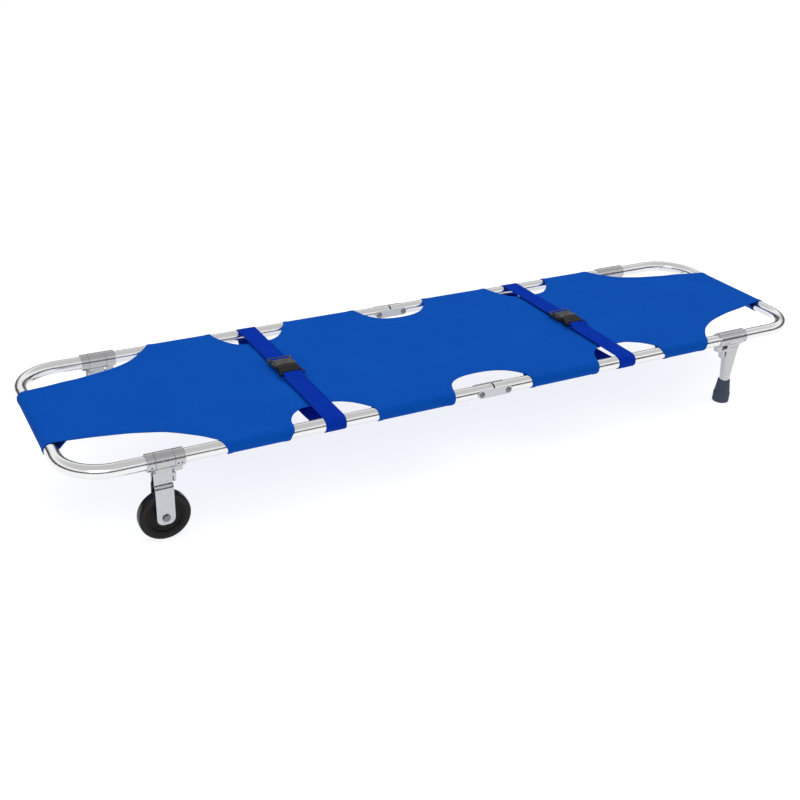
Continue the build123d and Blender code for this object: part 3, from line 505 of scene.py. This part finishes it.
def half_outline(end, step=0.004):
    """The flat cut of one sling half, and its hemmed edges on both sides."""
    runs = [smooth_run(np.array(edge) * MM, step) for edge in (CENTRE_EDGE, STRAP_EDGE, END_EDGE)]
    taper = np.clip((runs[2][:, 0] - TAPER_START) / (END_X - TAPER_START), 0, 1)
    runs[2][:, 1] -= TAPER_IN[end] * taper
    runs[2][:, 0] -= KNEE_IN[end] * np.clip((KNEE[1] - runs[2][:, 0]) / (KNEE[1] - KNEE[0]), 0, 1)
    upper = []
    for i, run in enumerate(runs):
        upper.append(run)
        if i < len(runs) - 1:
            gap = runs[i + 1][0][0] - run[-1][0]
            places = run[-1][0] + np.arange(1, int(gap / step)) * step
            upper.append(np.column_stack([places, np.full(len(places), FULL_S)]))
    upper = np.vstack(upper)
    end_half = upper[-1][1]
    count = int(2 * end_half / step)
    closing = np.column_stack([np.full(count - 1, FULL_X), np.linspace(end_half, -end_half, count + 1)[1:-1]])
    lower = (upper * (1, -1))[::-1]
    start_half = upper[0][1]
    count = int(2 * start_half / 0.008)
    opening = np.column_stack([np.zeros(count - 1), np.linspace(-start_half, start_half, count + 1)[1:-1]])
    outline = np.vstack([upper, closing, lower, opening])
    hems = [run * (1, side) for run in runs for side in (1, -1)]
    return outline, hems


def offset_line(line, amount):
    """The line moved sideways, to the left of its direction for a positive amount."""
    direction = np.gradient(line, axis=0)
    direction /= np.maximum(np.linalg.norm(direction, axis=1, keepdims=True), 1e-12)
    return line + amount * np.column_stack([-direction[:, 1], direction[:, 0]])


def spaced_line(line, step):
    """A line resampled at an even step."""
    along = np.concatenate([[0], np.cumsum(np.linalg.norm(np.diff(line, axis=0), axis=1))])
    at = np.arange(0, along[-1], step)
    return np.column_stack([np.interp(at, along, line[:, k]) for k in range(2)])


def thread_along(lines, end, lift, outline=None, pitch=0.0042, length=0.0031, radius=0.00032):
    """Stitches along lines in the flat cut, as vertices and faces in the row frame."""
    pairs = []
    for line in lines:
        starts = spaced_line(line, pitch)
        following = np.roll(starts, -1, 0)[:-1]
        starts = starts[:-1]
        heading = following - starts
        size = np.linalg.norm(heading, axis=1, keepdims=True)
        stops = starts + heading / np.maximum(size, 1e-9) * length
        if outline is not None:
            keep = inside(starts, outline) & inside(stops, outline)
            starts, stops = starts[keep], stops[keep]
        up = cloth_normal(starts[:, 0], starts[:, 1])
        low = cloth_place(starts[:, 0], starts[:, 1]) + up * lift
        high = cloth_place(stops[:, 0], stops[:, 1]) + cloth_normal(stops[:, 0], stops[:, 1]) * lift
        flip = np.array([end, 1, 1])
        pairs += list(zip(low * flip, high * flip, up * flip))
    return tube_segments(pairs, radius)


def both_faces(flat, faces, thick, end):
    """A closed skin over a flat cut: both surfaces and the cut edges, but nothing where halves meet."""
    flip = np.array([end, 1, 1])
    inner = cloth_place(flat[:, 0], flat[:, 1])
    outer = inner + cloth_normal(flat[:, 0], flat[:, 1]) * thick[:, None]
    if end < 0:
        faces = faces[:, ::-1]
    sides = np.vstack([faces[:, [0, 1]], faces[:, [1, 2]], faces[:, [2, 0]]])
    known = {(i, j) for i, j in sides.tolist()}
    count = len(flat)
    rims = []
    for i, j in sorted(known):
        if (j, i) not in known and max(flat[i, 0], flat[j, 0]) > MM:
            rims.append((j, i, i + count, j + count))
    skins = faces.tolist() + (faces[:, ::-1] + count).tolist()
    return np.vstack([outer, inner]) * flip, skins + rims


def sling(name, end, replaced):
    """One half of the sling, cut flat, hemmed and wrapped round the rails, with its stitching."""
    outline, hems = half_outline(end)
    bend = END_X + CLOTH_R * END_ANGLE
    xs = np.concatenate([np.arange(0.008, 1.008, 0.008), np.arange(1.011, bend, 0.003),
                         [bend, FULL_X - FLAP - 0.018, FULL_X - FLAP]])
    bend = RAIL_Y + CLOTH_R * SIDE_ANGLE
    half = np.concatenate([np.arange(0.0045, 0.255, 0.009), np.arange(0.2585, bend, 0.003),
                           [bend, FULL_S - FLAP - 0.018, FULL_S - FLAP]])
    ys = np.concatenate([-half[::-1], half])
    extra = [spaced_line(offset_line(hem, sign * amount), 0.004)
             for hem in hems for amount in (HEM_W - 0.0013, HEM_W) for sign in (1, -1)]
    flat, faces = cut_pattern(outline, xs, ys, np.vstack(extra))
    edge = np.min([distance_to(flat, hem, closed=False) for hem in hems], axis=0)
    thick = np.where(edge < HEM_W - 0.0007, HEM_T, CLOTH_T)
    verts, skin = both_faces(flat, faces, thick, end)
    obj = new_object(name, verts, skin, "sling_cloth", smooth_angle=60.0)
    set_flat(obj, np.tile(np.column_stack([flat, np.zeros(len(flat))]), (2, 1)))

    seams = []
    insets = (SEAM_IN + 0.002, SEAM_IN + 0.010)
    for side in (1, -1):
        for low, high in ((0.119, 0.308), (0.542, 0.670)):
            for inset in insets:
                row = np.arange(low, high, 0.01)
                seams.append(np.column_stack([row, np.full(len(row), side * (RAIL_Y - inset))]))
    for inset in insets:
        column = np.arange(-0.120, 0.1201, 0.008)
        seams.append(np.column_stack([np.full(len(column), END_X - inset), column]))
    hem_rows = [offset_line(hem, sign * 0.0085) for hem in hems for sign in (1, -1)]
    verts, made = thread_along(hem_rows, end, HEM_T + 0.0001, outline)
    more, extra_faces = thread_along(seams, end, CLOTH_T + 0.0001, outline)
    made += [tuple(i + len(verts) for i in f) for f in extra_faces]
    threads = new_object(f"{name}_stitching", verts + more, made, "sling_cloth", "stitch_thread")
    for piece in (obj, threads):
        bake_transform(piece)
    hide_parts(*replaced)


sling("wheel_half_sling", -1,
      ("wheel_end_sling", "centre_sling"))
sling("foot_half_sling", 1,
      ("foot_end_sling",))


# --------------------------------------------------------------------- straps

BUCKLE_Z = AXIS_Z + 0.0181
STRAP_HALF = 0.025
STRAP_T = 0.0016
STRAP_R = 0.0162
BAR_FAR = 0.044
BAR_NEAR = -0.0385


def strap_path(buckle_y):
    """The webbing's inner face as (y, height over the rails' axes), from bar to bar round both rails."""
    def bar_loop(sign, bar):
        """The turn round one of the buckle's bars and down on to the cloth."""
        top = [(bar - sign * 0.0027, 25.4), (bar - sign * 0.0012, 26.5), (bar + sign * 0.0015, 26.6),
               (bar + sign * 0.005, 24.9), (bar + sign * 0.012, 21.2), (bar + sign * 0.021, 18.6),
               (bar + sign * 0.034, 17.5)]
        under = [(bar + sign * 0.034, 17.2), (bar + sign * 0.021, 18.2), (bar + sign * 0.012, 20.0),
                 (bar + sign * 0.004, 20.9), (bar - sign * 0.0012, 21.1), (bar - sign * 0.0027, 22.3)]
        return under + top
    far = [(buckle_y + y, z * MM) for y, z in bar_loop(1, BAR_FAR)]
    near = [(buckle_y + y, z * MM) for y, z in bar_loop(-1, BAR_NEAR)]
    path = far + [(0.5 * (far[-1][0] + RAIL_Y), 0.0166), (RAIL_Y - 0.02, STRAP_R + 0.0001)]
    for angle in np.radians(np.arange(0, 196, 13)):
        path.append((RAIL_Y + STRAP_R * math.sin(angle), STRAP_R * math.cos(angle)))
    for y in np.linspace(0.24, -0.24, 17):
        sag = 0.0135 * (1 - abs(y / RAIL_Y) ** 3.2) + 0.0008 * math.sin(17 * y + 0.6)
        path.append((y, -STRAP_R - 0.0006 - sag))
    for angle in np.radians(np.arange(-195, 1, 13)):
        path.append((-RAIL_Y + STRAP_R * math.sin(angle), STRAP_R * math.cos(angle)))
    path += [(-RAIL_Y + 0.02, STRAP_R + 0.0001), (0.5 * (near[-1][0] - RAIL_Y), 0.0166)]
    return path + near[::-1]


def strap(number, x, buckle_y, body):
    """Webbing band with its sewn ends."""
    path = smooth_run(strap_path(buckle_y), 0.0035)
    along = np.concatenate([[0], np.cumsum(np.linalg.norm(np.diff(path, axis=0), axis=1))])
    cols = np.linspace(-STRAP_HALF, STRAP_HALF, 13)
    crown = 0.00025 * (1 - (cols / STRAP_HALF) ** 2)
    direction = np.gradient(path, axis=0)
    direction /= np.linalg.norm(direction, axis=1, keepdims=True)
    verts, flat = [], []
    for point, heading, place in zip(path, direction, along):
        for col, lift in zip(cols, crown):
            drift = 0.0006 * math.sin(9.0 * place)
            verts.append((x + col + drift, point[0] - heading[1] * lift,
                          point[1] + heading[0] * lift + AXIS_Z))
            flat.append((col, place, 0))
    width = len(cols)
    faces = [(r * width + c, r * width + c + 1, (r + 1) * width + c + 1, (r + 1) * width + c)
             for r in range(len(path) - 1) for c in range(width - 1)]
    obj = new_object(f"strap_{number}", verts, faces, "strap_webbing", smooth_angle=80.0)
    set_flat(obj, flat)
    solid = obj.modifiers.new("thickness", "SOLIDIFY")
    solid.thickness, solid.offset, solid.use_quality_normals = STRAP_T, 1.0, True
    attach(obj, body)
    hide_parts(f"strap_{number}_webbing")

    pairs = []
    lift = STRAP_T + 0.0002
    for sign, bar in ((1, BAR_FAR), (-1, BAR_NEAR)):
        start, stop = buckle_y + bar + sign * 0.009, buckle_y + bar + sign * 0.029
        corners = [(-0.02, start), (0.02, start), (0.02, stop), (-0.02, stop)]
        rows = [(corners[i], corners[(i + 1) % 4]) for i in range(4)]
        rows += [(corners[0], corners[2]), (corners[1], corners[3])]
        top = sorted([(p[0], p[1]) for p in strap_path(buckle_y)
                      if sign * (p[0] - buckle_y - bar) > 0.004 and p[1] > 0.0172
                      and abs(p[0]) < RAIL_Y], key=lambda p: p[0])
        upper = {}
        for y, z in top:
            upper[round(y, 5)] = max(z, upper.get(round(y, 5), 0))
        ys, zs = np.array(sorted(upper)), np.array([upper[y] for y in sorted(upper)])
        for a, b in rows:
            a, b = np.array(a), np.array(b)
            count = max(1, int(np.linalg.norm(b - a) / 0.0034))
            for k in range(count):
                p, q = a + (b - a) * k / count, a + (b - a) * (k + 0.74) / count
                pairs.append(((x + p[0], p[1], AXIS_Z + np.interp(p[1], ys, zs) + lift),
                              (x + q[0], q[1], AXIS_Z + np.interp(q[1], ys, zs) + lift), (0, 0, 1)))
    verts, faces = tube_segments(pairs, 0.00035)
    threads = new_object(f"strap_{number}_stitching", verts, faces, "strap_webbing", "stitch_thread")
    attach(threads, body)


def ring_section(y, half, low, high, centre=0.0, round_r=1.7, flats=14, arc=5):
    """A rounded rectangle across a buckle, at y, as points (x, y, z) in millimetres."""
    r = min(round_r, 0.45 * (high - low), 0.45 * half)
    corners = [(half - r, high - r, 0), (-half + r, high - r, 90),
               (-half + r, low + r, 180), (half - r, low + r, 270)]
    outline = []
    for (cx, cz, start), (nx, nz, _) in zip(corners, corners[1:] + corners[:1]):
        for k in range(arc):
            angle = math.radians(start + 90 * k / (arc - 1))
            outline.append((cx + r * math.cos(angle), cz + r * math.sin(angle)))
        ax, az = outline[-1]
        angle = math.radians(start + 90)
        bx, bz = nx + r * math.cos(angle), nz + r * math.sin(angle)
        for k in range(1, flats):
            outline.append((ax + (bx - ax) * k / flats, az + (bz - az) * k / flats))
    return [(centre + px, y, pz) for px, pz in outline]


def loft(sections):
    """Closed skin through rings of equal count, as vertices and faces."""
    sides = len(sections[0])
    verts = [p for section in sections for p in section]
    faces = []
    for r in range(len(sections) - 1):
        for k in range(sides):
            n = (k + 1) % sides
            faces.append((r * sides + k, r * sides + n, (r + 1) * sides + n, (r + 1) * sides + k))
    faces.append(tuple(reversed(range(sides))))
    faces.append(tuple((len(sections) - 1) * sides + k for k in range(sides)))
    return verts, faces


def rounded_loft(stations, centre=0.0, soft=0.9):
    """A loft whose two ends are rounded over: stations are (y, half width, low, high)."""
    step = 1.0 if stations[-1][0] > stations[0][0] else -1.0

    def end_caps(station, sign):
        """The rounded end of a loft, as shrinking rings outside its last station."""
        y, half, low, high = station
        out = []
        for t in (0.0, 0.35, 0.7):
            grow = soft * (1 - math.cos(math.asin(1 - t)))
            out.append((y + sign * step * soft * (1 - t), half - grow, low + grow, high - grow))
        return out

    full = end_caps(stations[0], -1) + list(stations) + end_caps(stations[-1], 1)[::-1]
    return loft([ring_section(*s, centre=centre) for s in full])


def oval_ring(half_x, half_y, y, z, thick, sides=48, around=8):
    """A raised oval bead."""
    verts, faces = [], []
    for i in range(sides):
        angle = 2 * math.pi * i / sides
        cx, cy = half_x * math.cos(angle), half_y * math.sin(angle)
        nx, ny = math.cos(angle) / half_x, math.sin(angle) / half_y
        size = math.hypot(nx, ny)
        for j in range(around):
            turn = 2 * math.pi * j / around
            reach = thick * math.cos(turn)
            verts.append((cx + nx / size * reach, y + cy + ny / size * reach, z + thick * math.sin(turn)))
    for i in range(sides):
        n = (i + 1) % sides
        for j in range(around):
            m = (j + 1) % around
            faces.append((i * around + j, n * around + j, n * around + m, i * around + m))
    return verts, faces


def arched(point, rise=6.0, half=27.0, reach=17.0):
    """Moves a point so that the joint between socket and plug arches towards the socket."""
    x, y, z = point
    return x, y + rise * max(0.0, 1 - (x / half) ** 2) * max(0.0, 1 - abs(y) / reach), z


def buckle_part(name, x, y, parts, body, replaced, material="buckle_plastic"):
    """Joins lofted shells, given in millimetres about the buckle, into one piece."""
    verts, faces = [], []
    for part_verts, part_faces in parts:
        faces += [tuple(i + len(verts) for i in f) for f in part_faces]
        moved = [arched(p) for p in part_verts]
        verts += [(x + p[0] * MM, y + p[1] * MM, BUCKLE_Z + p[2] * MM) for p in moved]
    obj = new_object(name, verts, faces, "buckle_plastic", material, smooth_angle=50.0)
    fix_normals(obj)
    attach(obj, body)
    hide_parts(replaced)


def buckle(number, x, y, body):
    """Side-release buckle: a hollow socket with open sides, and the plug with its strap bar."""
    top = rounded_loft([(1.6, 26.0, 9.6, 12.4), (5, 25.4, 9.6, 12.9), (10, 23.4, 9.6, 13.2),
                        (17, 21.8, 9.6, 13.2), (24, 22.6, 9.6, 13.1), (30, 25.6, 9.4, 12.6),
                        (35, 29.4, 9.0, 11.6), (38, 30.6, 8.4, 10.4)])
    dome = rounded_loft([(8.0, 12.0, 11.8, 13.2), (12, 15.5, 11.8, 13.6), (18, 16.5, 11.8, 13.8),
                         (24, 15.5, 11.8, 13.6), (30, 11.0, 11.4, 13.0), (37, 6.5, 9.8, 11.6)])
    bottom = rounded_loft([(1.6, 25, 0.2, 2.4), (12, 26, 0.0, 2.5), (30, 27.5, 0.0, 2.5),
                           (38, 30.6, 0.6, 3.4)])
    core = rounded_loft([(2.4, 15.2, 1.8, 10.4), (14, 13.8, 1.8, 10.4), (33, 6.0, 1.8, 10.4)])
    back = rounded_loft([(33.5, 29.6, 1.4, 9.6), (35, 30.2, 1.4, 9.8), (38.2, 30.8, 1.6, 9.2)])
    arm = [(36, 2.2, 1.8, 9.0), (41, 2.3, 2.2, 9.4), (46, 2.2, 3.0, 10.2), (51.5, 1.9, 6.6, 10.4)]
    arms = [rounded_loft(arm, centre=c) for c in (-28.9, 28.9)]
    inner_bar = rounded_loft([(42.6, 28.6, 3.2, 8.0), (43.4, 28.8, 3.1, 8.2), (45.6, 28.6, 3.2, 8.0)])
    outer_bar = rounded_loft([(49.6, 29.6, 8.3, 10.2), (51.6, 29.8, 7.7, 10.2)], soft=0.6)
    bead = oval_ring(9.5, 6.0, 17.5, 13.72, 0.5)
    shells = [top, dome, bottom, core, back, *arms, inner_bar, outer_bar, bead]
    buckle_part(f"strap_{number}_socket", x, y, shells, body, f"strap_{number}_buckle_socket")
    front = rounded_loft([(-1.4, 25.6, 0.8, 12.0), (-4, 26.2, 0.5, 12.3), (-9, 26.6, 0.4, 11.9),
                          (-15, 27.6, 0.4, 10.4), (-21, 28.9, 0.5, 8.7), (-27, 30.4, 0.7, 8.0)])
    arms = [rounded_loft([(-26, 2.3, 0.9, 8.0), (-34, 2.4, 1.4, 8.0), (-41, 2.3, 2.4, 8.0)], centre=c)
            for c in (-28.6, 28.6)]
    near_bar = rounded_loft([(-37.2, 30.6, 3.2, 8.0), (-38.0, 30.8, 3.1, 8.2), (-40.4, 30.6, 3.0, 8.0)])
    # The plug gets the darker copy of the buckle plastic: painted shade, not a plastic of its own.
    buckle_part(f"strap_{number}_plug", x, y, [front, *arms, near_bar], body, f"strap_{number}_buckle_plug",
                "buckle_plastic_painted_shade")


for number, x, y, body in ((1, -0.425, 0.0, "wheel_end_half"), (2, 0.407, -0.024, "foot_end_half")):
    strap(number, x, y, body)
    buckle(number, x, y, body)


# --------------------------------------------------------------------- wheels


def fillet_profile(points, radius, steps=5):
    """Rounds the inner corners of an open (radius, offset) profile."""
    out = [points[0]]
    for a, b, c in zip(points, points[1:], points[2:]):
        a, b, c = np.array(a), np.array(b), np.array(c)
        first, second = a - b, c - b
        reach = min(radius, 0.45 * np.linalg.norm(first), 0.45 * np.linalg.norm(second))
        p, q = b + first / np.linalg.norm(first) * reach, b + second / np.linalg.norm(second) * reach
        for t in np.linspace(0, 1, steps):
            out.append(tuple((1 - t) ** 2 * p + 2 * t * (1 - t) * b + t**2 * q))
    return out + [points[-1]]


def ring_profile(half):
    """A closed profile from one of its halves, which runs from the middle of the tread or rim inwards."""
    mirrored = [(r, -h) for r, h in reversed(half)]
    return half + mirrored


def wheel(name, side):
    """The tyre and the hub of one wheel."""
    centre = (WHEEL_X, side * RAIL_Y, WHEEL_R)
    tyre = fillet_profile([(0.058, 0.0), (0.058, 0.0090), (0.0555, 0.0128), (0.0490, 0.0133),
                           (0.0480, 0.0126),
                           (0.0470, 0.0126), (0.0462, 0.0131), (0.0434, 0.0127), (0.0432, 0.0)], 0.0030)
    obj = lathe(f"{name}_tyre", ring_profile(tyre), centre, "tyre_rubber", 120)
    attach(obj, f"{name}_wheel")
    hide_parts(f"{name}_wheel_tyre")
    bore = 0.00712
    hub = fillet_profile([(0.0430, 0.0), (0.0430, 0.0122), (0.0418, 0.0126), (0.0385, 0.0124),
                          (0.0372, 0.0086),
                          (0.0330, 0.0076), (0.0322, 0.0083), (0.0310, 0.0083), (0.0302, 0.0075),
                          (0.0190, 0.0078),
                          (0.0160, 0.0104), (0.0142, 0.0142), (bore, 0.0145), (bore, 0.0)], 0.0014)
    obj = lathe(f"{name}_hub", ring_profile(hub), centre, "hub_plastic", 120)
    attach(obj, f"{name}_wheel")
    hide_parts(f"{name}_wheel_hub")


FORK_HALF_W = 0.0205
PLATE_T = 0.0025


def fork_path():
    """Outer face of a fork plate as (out, height over the rail's axis), with rolled bends."""
    corners = [(0.012, -0.023), (0.012, -0.0515), (0.018, -0.0625), (0.018, -0.151)]
    return np.array(fillet_profile(corners, 0.0045, 9))


def fork(name, side):
    """The two pressed plates of one wheel's fork."""
    path = fork_path()
    along = np.concatenate([[0], np.cumsum(np.linalg.norm(np.diff(path, axis=0), axis=1))])
    total, half, foot = along[-1], FORK_HALF_W, 0.0155
    outline = [(-half, 0.0), (half, 0.0)]
    outline += [(half, y) for y in np.linspace(0, total - foot, 40)[1:-1]]
    angles = np.linspace(0, math.pi / 2, 14)
    outline += [(half - foot + foot * math.cos(t), total - foot + foot * math.sin(t)) for t in angles]
    outline += [(-half + foot - foot * math.sin(t), total - foot + foot * math.cos(t)) for t in angles]
    outline += [(-half, y) for y in np.linspace(total - foot, 0, 40)[1:-1]]
    outline = np.array(outline)
    xs = np.linspace(-half, half, 9)[1:-1]
    ys = np.unique(np.concatenate([along, np.linspace(0, total, 30)]))[1:-1]
    flat, faces = cut_pattern(outline, xs, ys, gap=0.0006)
    for face, place in ((side, "outer"), (-side, "inner")):
        out = np.interp(flat[:, 1], along, path[:, 0])
        high = np.interp(flat[:, 1], along, path[:, 1])
        verts = np.column_stack([WHEEL_X + flat[:, 0], side * RAIL_Y + face * out, AXIS_Z + high])
        obj = new_object(f"{name}_fork_{place}", verts, faces, "zinc_steel", smooth_angle=60.0)
        normal = obj.data.polygons[0].normal
        solid = obj.modifiers.new("plate", "SOLIDIFY")
        solid.thickness, solid.offset = PLATE_T, -1.0 if normal.y * face > 0 else 1.0
        rounded = obj.modifiers.new("deburred", "BEVEL")
        rounded.width, rounded.segments, rounded.angle_limit = 0.0005, 2, math.radians(60.0)
        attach(obj, f"{name}_wheel_bracket")
        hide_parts(f"{name}_fork_plate_{place}")


for name, side in NEAR_FAR:
    wheel(name, side)
    fork(name, side)


# ------------------------------------------------------------- the CAD nodes

for row in frame["record"]["subparts"]:
    obj = frame["nodes"][row["node"]]
    obj.data.materials.clear()
    look = "bolt_steel" if "_bolt" in obj.name else row["material_slot"]
    obj.data.materials.append(MATS[look])
    for polygon in obj.data.polygons:
        polygon.material_index = 0


# ------------------------------------------------- floor, light and camera


def floor():
    """A plain pale floor, large enough to fill every view."""
    bm = bmesh.new()
    bmesh.ops.create_grid(bm, x_segments=4, y_segments=4, size=30.0)
    mesh = bpy.data.meshes.new("floor")
    bm.to_mesh(mesh)
    bm.free()
    mat, tree, bsdf = new_material("floor_paper", (0.30, 0.30, 0.30), 0.9, Specular_IOR_Level=0.0)
    bsdf.inputs["Emission Color"].default_value = (1.0, 1.0, 1.0, 1.0)
    bsdf.inputs["Emission Strength"].default_value = 0.82
    shade = noise(tree, object_space(tree), 1.5, 2.0)
    color = ramp(tree, shade, [(0.3, (0.29, 0.29, 0.29)), (0.7, (0.31, 0.31, 0.31))])
    tree.links.new(color, bsdf.inputs["Base Color"])
    mesh.materials.append(mat)
    obj = bpy.data.objects.new("floor", mesh)
    obj.location = (0, 0, -0.0005)
    bpy.context.scene.collection.objects.link(obj)


def studio_world():
    """White above, with the dark band that a studio has at its horizon."""
    world = bpy.data.worlds.new("studio")
    bpy.context.scene.world = world
    world.use_nodes = True
    tree = world.node_tree
    direction = node(tree, "ShaderNodeTexCoord").outputs["Generated"]
    height = node(tree, "ShaderNodeSeparateXYZ", {0: direction}).outputs[2]
    scaled = math_node(tree, "ADD", math_node(tree, "MULTIPLY", height, 0.5), 0.5)
    stops = [(0.0, 1.0), (0.46, 1.0), (0.482, 0.03), (0.655, 0.03), (0.69, 1.15), (0.76, 1.15),
             (0.83, 0.78), (0.88, 0.66), (1.0, 0.64)]
    color = ramp(tree, scaled, [(place, (value,) * 3) for place, value in stops])
    background = tree.nodes["Background"]
    tree.links.new(color, background.inputs["Color"])
    background.inputs["Strength"].default_value = 1.0


def area_light(name, place, aim, size, power, mirrored=True):
    """A soft rectangular light; one that isn't mirrored leaves no highlight on metal."""
    light = bpy.data.lights.new(name, "AREA")
    light.shape, light.size, light.size_y, light.energy = "RECTANGLE", size[0], size[1], power
    obj = bpy.data.objects.new(name, light)
    obj.location = place
    obj.rotation_euler = (Vector(aim) - Vector(place)).to_track_quat("-Z", "Y").to_euler()
    obj.visible_glossy = mirrored
    bpy.context.scene.collection.objects.link(obj)


def camera():
    """The photograph's viewpoint."""
    azimuth, elevation, roll = math.radians(-29.52), math.radians(27.063), math.radians(2.542)
    back = Vector((math.sin(azimuth) * math.cos(elevation), -math.cos(azimuth) * math.cos(elevation),
                   math.sin(elevation)))
    right = (-back).cross(Vector((0, 0, 1))).normalized()
    up = right.cross(-back)
    turned_right = right * math.cos(roll) + up * math.sin(roll)
    turned_up = up * math.cos(roll) - right * math.sin(roll)
    data = bpy.data.cameras.new("camera")
    data.lens, data.sensor_width = 49.92, 36.0
    data.clip_end = 200.0
    obj = bpy.data.objects.new("camera", data)
    turn = Matrix((turned_right, turned_up, back)).transposed().to_4x4()
    obj.matrix_world = Matrix.Translation((-1.38667, -2.26878, 1.38926)) @ turn
    bpy.context.scene.collection.objects.link(obj)
    bpy.context.scene.camera = obj


floor()
studio_world()
area_light("top_light", (0.3, 0.6, 4.2), (0, 0, 0.2), (5.0, 4.0), 85.0, mirrored=False)
area_light("front_light", (-2.4, -3.2, 2.6), (0, 0, 0.2), (2.5, 2.0), 22.0)
camera()
bpy.context.scene.view_settings.view_transform = "Standard"
